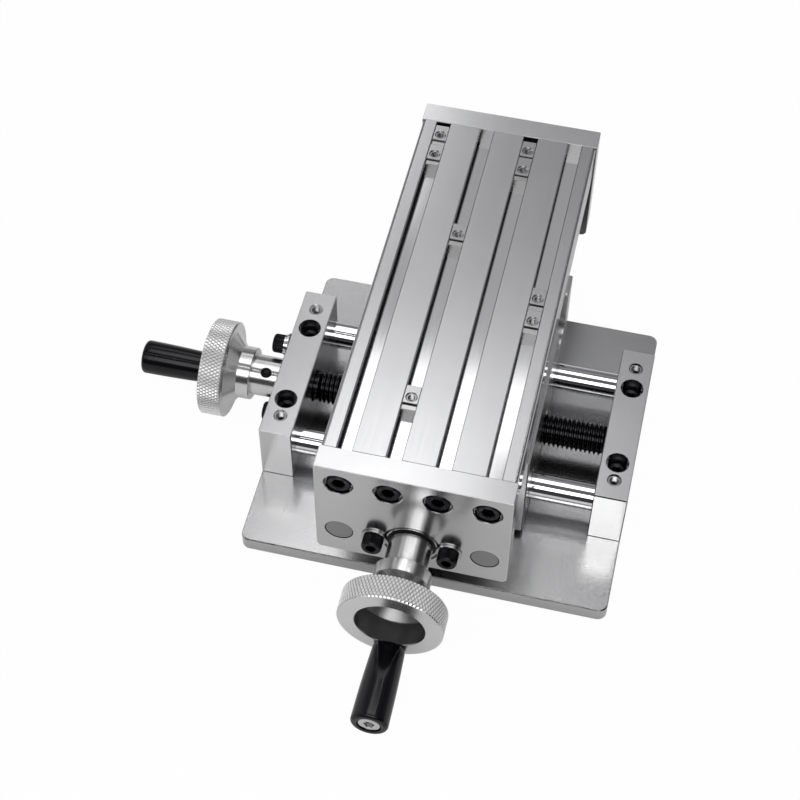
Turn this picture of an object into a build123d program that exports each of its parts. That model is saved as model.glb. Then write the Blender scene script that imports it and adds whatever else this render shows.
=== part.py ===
"""Two-axis cross slide table: base with two end blocks, saddle, T-slotted table and two handwheel screws.

Millimetres. Origin at the centre of the base plate's underside, X along the lower slide (right),
Y along the upper slide (towards the rear), Z up.
"""

import math
import os

from build123d import *

os.makedirs("parts", exist_ok=True)

# Fits
rod_fit = 0.03
seat_fit = 0.02
running_fit = 0.05
tapped_fit = 0.05
open_gap = 0.3

# Base plate
base_width = 160.0
base_depth = 152.0
base_thickness = 7.0
base_corner_radius = 4.0
base_edge_chamfer = 0.5

# End blocks of the lower slide
block_thickness = 14.4
block_depth = 80.0
block_height = 31.0
block_screw_front_y = -21.2
block_screw_rear_y = 19.2
block_screw_length = 25.0
block_counterbore_depth = 11.0
block_edge_chamfer = 0.4

# Guide rods and their spacing, the same on both slides
rod_diameter = 12.0
rod_half_pitch = 30.3
rod_recess = 0.2
rod_end_chamfer = 0.4
axis_rise = 22.2
rod_lock_screw_length = 5.0

# Lead screws
thread_diameter = 14.0
bearing_seat_diameter = 12.0
journal_diameter = 10.0
far_journal_length = 10.0
thread_clearance = 0.5
thread_end_chamfer = 1.0

# Ball bearing at the handwheel end of each screw
bearing_outside_diameter = 24.0
bearing_width = 6.0
bearing_recess = 0.2
outer_ring_wall = 1.8
inner_ring_wall = 1.9
seal_thickness = 0.8
seal_inset = 0.25
retainer_circle_radius = 15.6
retainer_thread_depth = 4.3
x_retainer_angle = -45.0
y_retainer_angle = 0.0

# Plain bush at the far end of each screw
end_bush_diameter = 16.0

# Saddle
saddle_x = -2.4
saddle_half_width = 40.5
saddle_half_length = 46.6
saddle_end_thickness = 11.4
saddle_below_x_axis = 12.5
saddle_above_y_axis = 15.8
saddle_edge_chamfer = 0.6
bush_diameter = 16.0
bush_length = 30.0
bush_recess = 0.6
bush_end_chamfer = 0.5
rod_bore_radius = 7.0
screw_bore_radius = 8.0
nut_diameter = 20.0
nut_length = 24.0
window_radius = 10.6
window_rear_wall = 1.4
window_above_y_axis = 3.8
window_inner_x = 22.9
end_screw_spacing_x = 32.0
end_screw_spacing_z = 35.0
end_screw_grip = 8.0
end_screw_length = 12.0
end_screw_recess = 5.4
nut_lock_screw_length = 5.0
x_nut_lock_inset = 21.0
y_nut_lock_inset = 12.0

# Table: extrusion, front plate and rear plate
table_front = -85.0
plate_half_width = 40.0
plate_thickness = 10.5
plate_below_y_axis = 15.1
plate_lower_radius = 2.5
plate_edge_chamfer = 0.3
profile_half_width = 39.5
profile_height = 20.0
profile_above_saddle = 7.5
profile_length = 184.5
profile_corner_radius = 1.5
slot_pitch = 20.0
slot_opening = 6.3
slot_lip = 1.8
slot_cavity_width = 11.0
slot_cavity_side = 2.4
slot_depth = 6.2
slot_floor_width = 7.4
slot_mouth_chamfer = 0.25
core_width = 6.0
core_height = 14.0
core_radius = 1.0
tapped_core_depth = 18.0
plate_screw_drop = 10.4
plate_screw_length = 20.0
plate_counterbore_radius = 6.0
plate_counterbore_depth = 6.5
plate_counterbore_chamfer = 0.3
side_groove_width = 0.9
side_groove_pitch = 5.7

# Slot nuts, and their distances behind the extrusion's front end, slot by slot from the left
nut_block_length = 11.6
nut_body_width = 10.4
nut_body_height = 4.0
nut_neck_width = 5.9
nut_top_drop = 0.7
nut_foot_gap = 0.2
nut_thread_radius = 2.0
slot_nut_distances = [[165.0, 177.2], [31.2, 120.8], [164.6, 176.4], [80.9, 93.2]]

# Handwheels
wheel_radius = 21.8
collar_radius = 9.2
collar_length = 13.2
hub_radius = 11.8
hub_length = 6.0
flare_radius = 17.5
x_flare_length = 4.2
y_flare_length = 8.5
rim_width = 10.6
rim_chamfer = 0.7
dish_radius = 14.2
dish_step = 0.4
dish_floor_radius = 8.5
dish_floor_height = 16.5
dish_cone_height = 18.6
dish_mouth_chamfer = 0.3
wheel_standoff = 0.5
wheel_boss_radius = 7.5
shaft_standout = 1.0
set_screw_height = 6.5
handle_offset = 17.4

# Angles seen from outside each handwheel, counted from its right-hand side
x_handle_angle = -121.0
x_set_screw_angle = 63.0
y_handle_angle = -90.0
y_set_screw_angle = -150.0

# Revolving handles
handle_start = 0.7
handle_length = 34.6
handle_root_radius = 6.7
handle_belly_radius = 7.4
handle_end_radius = 7.7
handle_end_fillet = 1.6
handle_recess_depth = 5.6
handle_recess_radius = 4.9
handle_bolt_head_radius = 4.5
handle_bolt_head_height = 4.9
handle_bolt_shoulder_radius = 3.0
handle_bolt_flange_radius = 4.2
handle_bolt_flange_height = 0.4
handle_bolt_thread_length = 7.5
handle_bolt_key = 4.0
handle_bolt_key_depth = 2.4

# Standard M5 and M6 screws and their washers
m5_radius = 2.5
m5_clearance_radius = 2.75
m5_head_radius = 4.25
m5_head_height = 5.0
m5_key = 4.0
m5_grub_key = 2.5
m5_counterbore_radius = 5.0
m5_countersink_radius = 3.1
m6_radius = 3.0
m6_clearance_radius = 3.3
m6_head_radius = 5.0
m6_head_height = 6.0
m6_key = 5.0
screw_head_chamfer = 0.4
cap_socket_share = 0.55
grub_socket_share = 0.45
washer_radius = 5.4
washer_bore_radius = 2.7
washer_thickness = 1.0
spring_washer_radius = 4.6
spring_washer_thickness = 1.2
spring_washer_split = 0.8

# Places that follow from the sizes above
base_top = base_thickness
block_top = base_top + block_height
block_outer_x = base_width / 2
block_inner_x = block_outer_x - block_thickness
block_middle_x = block_outer_x - block_thickness / 2
x_axis_height = base_top + block_height / 2
y_axis_height = x_axis_height + axis_rise
rod_radius = rod_diameter / 2
thread_radius = thread_diameter / 2
journal_radius = journal_diameter / 2
bearing_radius = bearing_outside_diameter / 2
pocket_depth = bearing_width + bearing_recess
saddle_front = -saddle_half_length
saddle_rear = saddle_half_length + saddle_end_thickness
saddle_bottom = x_axis_height - saddle_below_x_axis
saddle_top = y_axis_height + saddle_above_y_axis
saddle_middle_height = (saddle_top + saddle_bottom) / 2
window_centre_height = y_axis_height + window_above_y_axis
profile_front = table_front + plate_thickness
profile_rear = profile_front + profile_length
table_rear = profile_rear + plate_thickness
profile_bottom = saddle_top + profile_above_saddle
table_top = profile_bottom + profile_height
plate_bottom = y_axis_height - plate_below_y_axis
plate_height = table_top - plate_bottom
plate_screw_height = table_top - plate_screw_drop
slot_offsets = [slot_pitch * (i - 1.5) for i in range(len(slot_nut_distances))]
outer_ring_inner_radius = bearing_radius - outer_ring_wall
inner_ring_outer_radius = bearing_seat_diameter / 2 + inner_ring_wall
wheel_inner_height = wheel_standoff + collar_length + hub_length
m5_tapped_radius = m5_radius + tapped_fit
m6_tapped_radius = m6_radius + tapped_fit


def write(piece, name):
    """Label a finished piece and write it to its own file."""
    piece.part.label = name
    export_step(piece.part, f"parts/{name}.step")


def looking_out(axis, distance, across, height):
    """Plane on the face of a block or plate, its normal pointing away from the slide."""
    if axis == "x":
        return Plane(origin=(distance, across, height), x_dir=(0, -1, 0), z_dir=(-1, 0, 0))
    return Plane(origin=(across, distance, height), x_dir=(1, 0, 0), z_dir=(0, -1, 0))


def upward(x, y, height):
    """Plane with its normal up."""
    return Plane(origin=(x, y, height))


def copies(piece, planes):
    """The same piece placed on each plane, as one group of separate solids."""
    with BuildPart() as group:
        with Locations(*[plane.location for plane in planes]):
            add(piece.part)
    return group


def socket_screw(radius, length, head_radius, head_height, key):
    """Cap screw with a hexagon socket, the underside of its head at height 0."""
    with BuildPart() as screw:
        Cylinder(head_radius, head_height, align=(Align.CENTER, Align.CENTER, Align.MIN))
        chamfer(screw.edges().filter_by(GeomType.CIRCLE).sort_by(Axis.Z)[-1], screw_head_chamfer)
        Cylinder(radius, length, align=(Align.CENTER, Align.CENTER, Align.MAX))
        with BuildSketch(Plane.XY.offset(head_height)):
            RegularPolygon(key / 2, 6, major_radius=False)
        extrude(amount=-head_height * cap_socket_share, mode=Mode.SUBTRACT)
    return screw


def m5_cap_screw(length):
    """M5 cap screw with the given length below its head."""
    return socket_screw(m5_radius, length, m5_head_radius, m5_head_height, m5_key)


def m5_grub_screw(length):
    """Headless M5 screw with a hexagon socket, standing on height 0."""
    with BuildPart() as screw:
        Cylinder(m5_radius, length, align=(Align.CENTER, Align.CENTER, Align.MIN))
        with BuildSketch(Plane.XY.offset(length)):
            RegularPolygon(m5_grub_key / 2, 6, major_radius=False)
        extrude(amount=-length * grub_socket_share, mode=Mode.SUBTRACT)
    return screw


def ring(outer_radius, inner_radius, height, top):
    """Flat ring whose upper face lies at height top."""
    with BuildPart() as piece:
        with BuildSketch(Plane.XY.offset(top - height)):
            Circle(outer_radius)
            Circle(inner_radius, mode=Mode.SUBTRACT)
        extrude(amount=height)
    return piece


def bush(outer_radius, inner_radius, length):
    """Plain bush that starts at height 0 and runs down its bore, with chamfered ends."""
    with BuildPart() as piece:
        Cylinder(outer_radius, length, align=(Align.CENTER, Align.CENTER, Align.MAX))
        chamfer(piece.edges().filter_by(GeomType.CIRCLE), bush_end_chamfer)
        Cylinder(inner_radius, length, align=(Align.CENTER, Align.CENTER, Align.MAX), mode=Mode.SUBTRACT)
    return piece


# Base plate, tapped for the four block screws
block_screw_places = [
    (x, y) for x in (-block_middle_x, block_middle_x) for y in (block_screw_front_y, block_screw_rear_y)
]
with BuildPart() as base_plate:
    with BuildSketch():
        RectangleRounded(base_width, base_depth, base_corner_radius)
    extrude(amount=base_thickness)
    chamfer(base_plate.faces().sort_by(Axis.Z)[-1].edges(), base_edge_chamfer)
    with Locations((0, 0, base_top)):
        with Locations(*block_screw_places):
            Hole(m5_tapped_radius)
write(base_plate, "base_plate")


def end_block(side):
    """End block at side -1 or 1, before the bore of its screw is cut."""
    centre_x = side * block_middle_x
    with BuildPart() as block:
        with BuildSketch(Plane.XY.offset(base_top)):
            with Locations((centre_x, 0)):
                Rectangle(block_thickness, block_depth)
        extrude(amount=block_height)
        chamfer(block.edges(), block_edge_chamfer)
        with Locations((centre_x, block_screw_front_y, block_top), (centre_x, block_screw_rear_y, block_top)):
            CounterBoreHole(m5_clearance_radius, m5_counterbore_radius, block_counterbore_depth)
        with Locations((centre_x, -rod_half_pitch, block_top), (centre_x, rod_half_pitch, block_top)):
            CounterSinkHole(m5_tapped_radius, m5_countersink_radius, depth=block_height / 2)
        with BuildSketch(Plane.YZ.offset(centre_x)):
            with Locations((-rod_half_pitch, x_axis_height), (rod_half_pitch, x_axis_height)):
                Circle(rod_radius + rod_fit)
        extrude(amount=block_thickness, both=True, mode=Mode.SUBTRACT)
    return block


def retainer_places(angle):
    """Places of the two retainer screws on a face, on a line turned by an angle through the bearing's centre."""
    turn = math.radians(angle)
    across, up = retainer_circle_radius * math.cos(turn), retainer_circle_radius * math.sin(turn)
    return [(-across, -up), (across, up)]


def bearing_housing(block, face, through_depth, retainer_angle):
    """Cut the stepped bearing bore and the two retainer screw holes, seen from the plane face."""
    with BuildPart() as housing:
        add(block.part)
        with BuildSketch(face):
            Circle(bearing_radius + seat_fit)
        extrude(amount=-pocket_depth, mode=Mode.SUBTRACT)
        with BuildSketch(face):
            Circle(thread_radius + thread_clearance)
        extrude(amount=-through_depth, mode=Mode.SUBTRACT)
        with BuildSketch(face):
            with Locations(*retainer_places(retainer_angle)):
                Circle(m5_tapped_radius)
        extrude(amount=-retainer_thread_depth - open_gap, mode=Mode.SUBTRACT)
    return housing


x_face = looking_out("x", -block_outer_x, 0, x_axis_height)
left_end_block = bearing_housing(end_block(-1), x_face, block_thickness, x_retainer_angle)
write(left_end_block, "left_end_block")

# The far end of the lower screw runs in a bush behind a blind bore
right_solid = end_block(1)
with BuildPart() as right_end_block:
    add(right_solid.part)
    with BuildSketch(Plane.YZ.offset(block_inner_x)):
        with Locations((0, x_axis_height)):
            Circle(end_bush_diameter / 2 + seat_fit)
    extrude(amount=far_journal_length + open_gap, mode=Mode.SUBTRACT)
write(right_end_block, "right_end_block")


def guide_rod(length):
    """Ground rod standing on height 0."""
    with BuildPart() as rod:
        Cylinder(rod_radius, length, align=(Align.CENTER, Align.CENTER, Align.MIN))
        chamfer(rod.edges().filter_by(GeomType.CIRCLE), rod_end_chamfer)
    return rod


# Rods of the lower slide, held in both end blocks
x_rod = guide_rod(base_width - 2 * rod_recess)
for name, y in (("x_rod_front", -rod_half_pitch), ("x_rod_rear", rod_half_pitch)):
    start = Plane(origin=(-block_outer_x + rod_recess, y, x_axis_height), z_dir=(1, 0, 0))
    write(copies(x_rod, [start]), name)

# Screws that hold the end blocks down, and grub screws that lock the rods
block_screw_seat = block_top - block_counterbore_depth
block_screw_planes = [upward(x, y, block_screw_seat) for x, y in block_screw_places]
write(copies(m5_cap_screw(block_screw_length), block_screw_planes), "end_block_screws")

rod_lock_planes = [
    upward(x, y, x_axis_height + rod_radius)
    for x in (-block_middle_x, block_middle_x)
    for y in (-rod_half_pitch, rod_half_pitch)
]
write(copies(m5_grub_screw(rod_lock_screw_length), rod_lock_planes), "rod_lock_screws")


# Bearings: outer ring and seals stay with the housing, the inner ring turns with the screw
bearing_outer_ring = ring(bearing_radius, outer_ring_inner_radius, bearing_width, -bearing_recess)
bearing_inner_ring = ring(
    inner_ring_outer_radius,
    bearing_seat_diameter / 2 + seat_fit,
    bearing_width,
    -bearing_recess,
)
seal_tops = (-bearing_recess - seal_inset, -pocket_depth + seal_inset + seal_thickness)
with BuildPart() as bearing_seals:
    for seal_top in seal_tops:
        with BuildSketch(Plane.XY.offset(seal_top - seal_thickness)):
            Circle(outer_ring_inner_radius - seat_fit)
            Circle(inner_ring_outer_radius + open_gap, mode=Mode.SUBTRACT)
        extrude(amount=seal_thickness)

# Washers of the retainer screws; the ones on the lower slide have a split spring washer on top
flat_washer = ring(washer_radius, washer_bore_radius, washer_thickness, washer_thickness)
with BuildPart() as stacked_washers:
    add(flat_washer.part)
    with BuildSketch(Plane.XY.offset(washer_thickness)):
        Circle(spring_washer_radius)
        Circle(washer_bore_radius, mode=Mode.SUBTRACT)
        with Locations((0, -spring_washer_radius)):
            Rectangle(spring_washer_split, 2 * spring_washer_radius, mode=Mode.SUBTRACT)
    extrude(amount=spring_washer_thickness)
y_face = looking_out("y", table_front, saddle_x, y_axis_height)

bearing_ends = [
    ("x", x_face, x_retainer_angle, stacked_washers, washer_thickness + spring_washer_thickness),
    ("y", y_face, y_retainer_angle, flat_washer, washer_thickness),
]
for axis, face, retainer_angle, washers, stack in bearing_ends:
    write(copies(bearing_outer_ring, [face]), f"{axis}_bearing_outer_ring")
    write(copies(bearing_inner_ring, [face]), f"{axis}_bearing_inner_ring")
    write(copies(bearing_seals, [face]), f"{axis}_bearing_seals")
    washer_planes = [
        Plane(origin=face.from_local_coords((across, up, 0)), z_dir=face.z_dir)
        for across, up in retainer_places(retainer_angle)
    ]
    write(copies(washers, washer_planes), f"{axis}_retainer_washers")
    retainer_screw = m5_cap_screw(stack + retainer_thread_depth)
    write(copies(retainer_screw, [plane.offset(stack) for plane in washer_planes]), f"{axis}_retainer_screws")

# Bushes for the plain far ends of the two screws
end_bush = bush(end_bush_diameter / 2, journal_radius + running_fit, far_journal_length)
x_bush_start = Plane(origin=(block_inner_x, 0, x_axis_height), z_dir=(-1, 0, 0))
y_bush_start = Plane(origin=(saddle_x, profile_rear, y_axis_height), z_dir=(0, -1, 0))
write(copies(end_bush, [x_bush_start]), "x_end_bush")
write(copies(end_bush, [y_bush_start]), "y_end_bush")


# Saddle block: lower bores along X, upper bores along Y, and a round window over each upper rod
saddle_left = saddle_x - saddle_half_width
saddle_right = saddle_x + saddle_half_width
window_depth = saddle_half_width - window_inner_x
window_y = saddle_half_length - window_rear_wall - window_radius
upper_rod_places = [(saddle_x - rod_half_pitch, y_axis_height), (saddle_x + rod_half_pitch, y_axis_height)]
lower_rod_places = [(-rod_half_pitch, x_axis_height), (rod_half_pitch, x_axis_height)]
nut_lock_x = saddle_right - x_nut_lock_inset
nut_lock_y = saddle_front + y_nut_lock_inset
with BuildPart() as saddle_block:
    with BuildSketch(Plane.XY.offset(saddle_bottom)):
        with Locations((saddle_x, 0)):
            Rectangle(2 * saddle_half_width, 2 * saddle_half_length)
    extrude(amount=saddle_top - saddle_bottom)
    chamfer(saddle_block.edges(), saddle_edge_chamfer)
    with BuildSketch(Plane.YZ.offset(saddle_left)):
        with Locations(*lower_rod_places):
            Circle(rod_bore_radius)
        with Locations((0, x_axis_height)):
            Circle(screw_bore_radius)
    extrude(amount=2 * saddle_half_width, mode=Mode.SUBTRACT)
    for side_face in (Plane.YZ.offset(saddle_left), Plane.YZ.offset(saddle_right - bush_length - bush_recess)):
        with BuildSketch(side_face):
            with Locations(*lower_rod_places):
                Circle(bush_diameter / 2 + seat_fit)
        extrude(amount=bush_length + bush_recess, mode=Mode.SUBTRACT)
    with BuildSketch(Plane.YZ.offset(saddle_right - nut_length - bush_recess)):
        with Locations((0, x_axis_height)):
            Circle(nut_diameter / 2 + seat_fit)
    extrude(amount=nut_length + bush_recess, mode=Mode.SUBTRACT)
    with BuildSketch(Plane.XZ.offset(-saddle_half_length)):
        with Locations(*upper_rod_places):
            Circle(rod_bore_radius)
        with Locations((saddle_x, y_axis_height)):
            Circle(screw_bore_radius)
    extrude(amount=2 * saddle_half_length, mode=Mode.SUBTRACT)
    with BuildSketch(Plane.XZ.offset(-saddle_front)):
        with Locations(*upper_rod_places):
            Circle(bush_diameter / 2 + seat_fit)
    extrude(amount=-bush_length - bush_recess, mode=Mode.SUBTRACT)
    with BuildSketch(Plane.XZ.offset(-saddle_front)):
        with Locations((saddle_x, y_axis_height)):
            Circle(nut_diameter / 2 + seat_fit)
    extrude(amount=-nut_length - bush_recess, mode=Mode.SUBTRACT)
    for window_plane in (Plane.YZ.offset(saddle_left), Plane.YZ.offset(saddle_right - window_depth)):
        with BuildSketch(window_plane):
            with Locations((window_y, window_centre_height)):
                Circle(window_radius)
            with Locations((window_y, saddle_top)):
                Rectangle(2 * window_radius, 2 * (saddle_top - window_centre_height))
        extrude(amount=window_depth, mode=Mode.SUBTRACT)
    with BuildSketch(Plane.XY.offset(saddle_top)):
        with Locations((nut_lock_x, 0)):
            Circle(m5_tapped_radius)
    extrude(amount=x_axis_height - saddle_top, mode=Mode.SUBTRACT)
    with BuildSketch(Plane.XY.offset(saddle_top)):
        with Locations((saddle_x, nut_lock_y)):
            Circle(m5_tapped_radius)
    extrude(amount=y_axis_height - saddle_top, mode=Mode.SUBTRACT)
    with BuildSketch(Plane.XZ.offset(-saddle_half_length)):
        with Locations((saddle_x, saddle_middle_height)):
            with GridLocations(end_screw_spacing_x, end_screw_spacing_z, 2, 2):
                Circle(m5_tapped_radius)
    extrude(amount=end_screw_grip, mode=Mode.SUBTRACT)
write(saddle_block, "saddle_block")


# End plate bolted behind the saddle block
with BuildPart() as saddle_end_plate:
    with BuildSketch(Plane.XZ.offset(-saddle_rear)):
        with Locations((saddle_x, saddle_middle_height)):
            Rectangle(2 * saddle_half_width, saddle_top - saddle_bottom)
    extrude(amount=saddle_end_thickness)
    chamfer(saddle_end_plate.edges(), saddle_edge_chamfer)
    with BuildSketch(Plane.XZ.offset(-saddle_rear)):
        with Locations(*upper_rod_places):
            Circle(bush_diameter / 2 + seat_fit)
        with Locations((saddle_x, y_axis_height)):
            Circle(screw_bore_radius)
    extrude(amount=saddle_end_thickness, mode=Mode.SUBTRACT)
    end_plate_face = Plane(
        origin=(saddle_x, saddle_rear, saddle_middle_height), x_dir=(-1, 0, 0), z_dir=(0, 1, 0)
    )
    with Locations(end_plate_face.location):
        with GridLocations(end_screw_spacing_x, end_screw_spacing_z, 2, 2):
            CounterBoreHole(m5_clearance_radius, m5_counterbore_radius, end_screw_recess)
write(saddle_end_plate, "saddle_end_plate")

end_screw_planes = [
    Plane(
        origin=(
            saddle_x + side * end_screw_spacing_x / 2,
            saddle_rear - end_screw_recess,
            saddle_middle_height + level * end_screw_spacing_z / 2,
        ),
        z_dir=(0, 1, 0),
    )
    for side in (-1, 1)
    for level in (-1, 1)
]
write(copies(m5_cap_screw(end_screw_length), end_screw_planes), "saddle_end_screws")

# Bushes that run on the rods
long_bush = bush(bush_diameter / 2, rod_radius + running_fit, bush_length)
short_bush = bush(bush_diameter / 2, rod_radius + running_fit, saddle_end_thickness - bush_recess)
x_bush_planes = [
    Plane(origin=(saddle_x + side * (saddle_half_width - bush_recess), y, x_axis_height), z_dir=(side, 0, 0))
    for side in (-1, 1)
    for y in (-rod_half_pitch, rod_half_pitch)
]
write(copies(long_bush, x_bush_planes), "x_bushes")
front_bush_planes = [
    Plane(origin=(x, saddle_front + bush_recess, height), z_dir=(0, -1, 0)) for x, height in upper_rod_places
]
write(copies(long_bush, front_bush_planes), "y_front_bushes")
rear_bush_planes = [
    Plane(origin=(x, saddle_rear - bush_recess, height), z_dir=(0, 1, 0)) for x, height in upper_rod_places
]
write(copies(short_bush, rear_bush_planes), "y_rear_bushes")

# Lead screw nuts, each locked by a grub screw from the top of the saddle
nut = bush(nut_diameter / 2, thread_radius + running_fit, nut_length)
x_nut_plane = Plane(origin=(saddle_right - bush_recess, 0, x_axis_height), z_dir=(1, 0, 0))
y_nut_plane = Plane(origin=(saddle_x, saddle_front + bush_recess, y_axis_height), z_dir=(0, -1, 0))
write(copies(nut, [x_nut_plane]), "x_nut")
write(copies(nut, [y_nut_plane]), "y_nut")
nut_lock_planes = [
    upward(nut_lock_x, 0, x_axis_height + nut_diameter / 2),
    upward(saddle_x, nut_lock_y, y_axis_height + nut_diameter / 2),
]
write(copies(m5_grub_screw(nut_lock_screw_length), nut_lock_planes), "nut_lock_screws")


def slot_outline(centre_x, surface, into):
    """Closed outline of one T-slot in the section of the extrusion, cut from a surface in the direction into."""
    half_opening = slot_opening / 2
    half_cavity = slot_cavity_width / 2
    half_floor = slot_floor_width / 2
    steps = [
        (half_opening + slot_mouth_chamfer, 0),
        (half_opening, slot_mouth_chamfer),
        (half_opening, slot_lip),
        (half_cavity, slot_lip),
        (half_cavity, slot_lip + slot_cavity_side),
        (half_floor, slot_depth),
    ]
    right_side = [(centre_x + x, surface + into * depth) for x, depth in steps]
    left_side = [(centre_x - x, surface + into * depth) for x, depth in reversed(steps)]
    return Polyline(*right_side, *left_side, close=True)


# Table extrusion: four T-slots above and below, hollow cores between them, tapped at both ends
with BuildPart() as table_profile:
    with BuildSketch(Plane.XZ.offset(-profile_rear)):
        with Locations((saddle_x, table_top - profile_height / 2)):
            RectangleRounded(2 * profile_half_width, profile_height, profile_corner_radius)
        for surface, into in ((table_top, -1), (profile_bottom, 1)):
            for offset_x in slot_offsets:
                with BuildLine():
                    slot_outline(saddle_x + offset_x, surface, into)
                make_face(mode=Mode.SUBTRACT)
        with Locations((saddle_x, table_top - profile_height / 2)):
            with GridLocations(slot_pitch, 1, 3, 1):
                RectangleRounded(core_width, core_height, core_radius, mode=Mode.SUBTRACT)
            with GridLocations(2 * profile_half_width, side_groove_pitch, 2, 3):
                Rectangle(side_groove_width, side_groove_width, rotation=45, mode=Mode.SUBTRACT)
    extrude(amount=profile_length)
    for end in (Plane.XZ.offset(-profile_rear), Plane.XZ.offset(-profile_front - tapped_core_depth)):
        with BuildSketch(end):
            with Locations(*[(saddle_x + offset_x, plate_screw_height) for offset_x in slot_offsets]):
                Circle(m6_tapped_radius)
        extrude(amount=tapped_core_depth, mode=Mode.SUBTRACT)
write(table_profile, "table_profile")


def table_plate(face):
    """Plate across one end of the table, its outer side on the plane face, with four counterbored holes."""
    outward = face.z_dir.Y
    face_y = face.origin.Y
    with BuildPart() as plate:
        with BuildSketch(face) as outline:
            with Locations((0, plate_bottom + plate_height / 2 - y_axis_height)):
                Rectangle(2 * plate_half_width, plate_height)
            fillet(outline.vertices().group_by(Axis.Y)[0], plate_lower_radius)
        extrude(amount=-plate_thickness)
        chamfer(plate.edges(), plate_edge_chamfer)
        with Locations(
            *[
                Plane(origin=(saddle_x + x, face_y, plate_screw_height), z_dir=(0, outward, 0)).location
                for x in slot_offsets
            ]
        ):
            CounterBoreHole(m6_clearance_radius, plate_counterbore_radius, plate_counterbore_depth)
        mouths = [
            edge
            for edge in plate.edges().filter_by(GeomType.CIRCLE)
            if abs(edge.radius - plate_counterbore_radius) < 0.01 and abs(edge.center().Y - face_y) < 0.01
        ]
        chamfer(mouths, plate_counterbore_chamfer)
        with BuildSketch(face):
            with Locations((-rod_half_pitch, 0), (rod_half_pitch, 0)):
                Circle(rod_radius + rod_fit)
        extrude(amount=-plate_thickness, mode=Mode.SUBTRACT)
    return plate


front_plate = bearing_housing(table_plate(y_face), y_face, plate_thickness, y_retainer_angle)
write(front_plate, "front_plate")

y_rear_face = Plane(origin=(saddle_x, table_rear, y_axis_height), x_dir=(-1, 0, 0), z_dir=(0, 1, 0))
rear_solid = table_plate(y_rear_face)
with BuildPart() as rear_plate:
    add(rear_solid.part)
    with BuildSketch(Plane.XZ.offset(-profile_rear)):
        with Locations((saddle_x, y_axis_height)):
            Circle(end_bush_diameter / 2 + seat_fit)
    extrude(amount=-far_journal_length - open_gap, mode=Mode.SUBTRACT)
write(rear_plate, "rear_plate")

# Rods of the upper slide, held in both plates
y_rod = guide_rod(table_rear - table_front - 2 * rod_recess)
for name, x in (("y_rod_left", saddle_x - rod_half_pitch), ("y_rod_right", saddle_x + rod_half_pitch)):
    start = Plane(origin=(x, table_front + rod_recess, y_axis_height), z_dir=(0, 1, 0))
    write(copies(y_rod, [start]), name)

# Screws through the plates into the ends of the extrusion
plate_screw = socket_screw(m6_radius, plate_screw_length, m6_head_radius, m6_head_height, m6_key)
for name, face_y, outward in (("front_plate_screws", table_front, -1), ("rear_plate_screws", table_rear, 1)):
    seats = [
        Plane(
            origin=(saddle_x + x, face_y - outward * plate_counterbore_depth, plate_screw_height),
            z_dir=(0, outward, 0),
        )
        for x in slot_offsets
    ]
    write(copies(plate_screw, seats), name)

# Slot nuts, standing on the floors of the slots
nut_floor = table_top - slot_depth
nut_foot_half_width = slot_floor_width / 2 - nut_foot_gap
nut_shoulder = slot_depth - slot_lip - slot_cavity_side
with BuildPart() as slot_nut:
    with BuildSketch(Plane.XZ):
        with BuildLine():
            nut_side = [
                (nut_foot_half_width, 0),
                (nut_body_width / 2, nut_shoulder),
                (nut_body_width / 2, nut_body_height),
                (nut_neck_width / 2, nut_body_height),
                (nut_neck_width / 2, slot_depth - nut_top_drop),
            ]
            Polyline(*nut_side, *[(-x, z) for x, z in reversed(nut_side)], close=True)
        make_face()
    extrude(amount=nut_block_length / 2, both=True)
    with Locations((0, 0, slot_depth - nut_top_drop)):
        Hole(nut_thread_radius)
slot_nut_planes = [
    upward(saddle_x + offset_x, profile_front + distance, nut_floor)
    for offset_x, distances in zip(slot_offsets, slot_nut_distances)
    for distance in distances
]
slot_nuts = copies(slot_nut, slot_nut_planes)
write(slot_nuts, "slot_nuts")


def lead_screw(far_shoulder):
    """Lead screw seen from its handwheel: journals at height above the face, thread below it."""
    far_end = far_shoulder + far_journal_length + open_gap
    wheel_end = wheel_standoff + dish_floor_height + shaft_standout
    with BuildPart() as screw:
        with BuildSketch(Plane.XZ):
            with BuildLine():
                Polyline(
                    (0, -far_end),
                    (journal_radius - rod_end_chamfer, -far_end),
                    (journal_radius, -far_end + rod_end_chamfer),
                    (journal_radius, -far_shoulder),
                    (thread_radius - thread_end_chamfer, -far_shoulder),
                    (thread_radius, -far_shoulder + thread_end_chamfer),
                    (thread_radius, -pocket_depth),
                    (bearing_seat_diameter / 2, -pocket_depth),
                    (bearing_seat_diameter / 2, -bearing_recess),
                    (journal_radius, -bearing_recess),
                    (journal_radius, wheel_end - rod_end_chamfer),
                    (journal_radius - rod_end_chamfer, wheel_end),
                    (0, wheel_end),
                    close=True,
                )
            make_face()
        revolve(axis=Axis.Z)
    return screw


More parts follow.
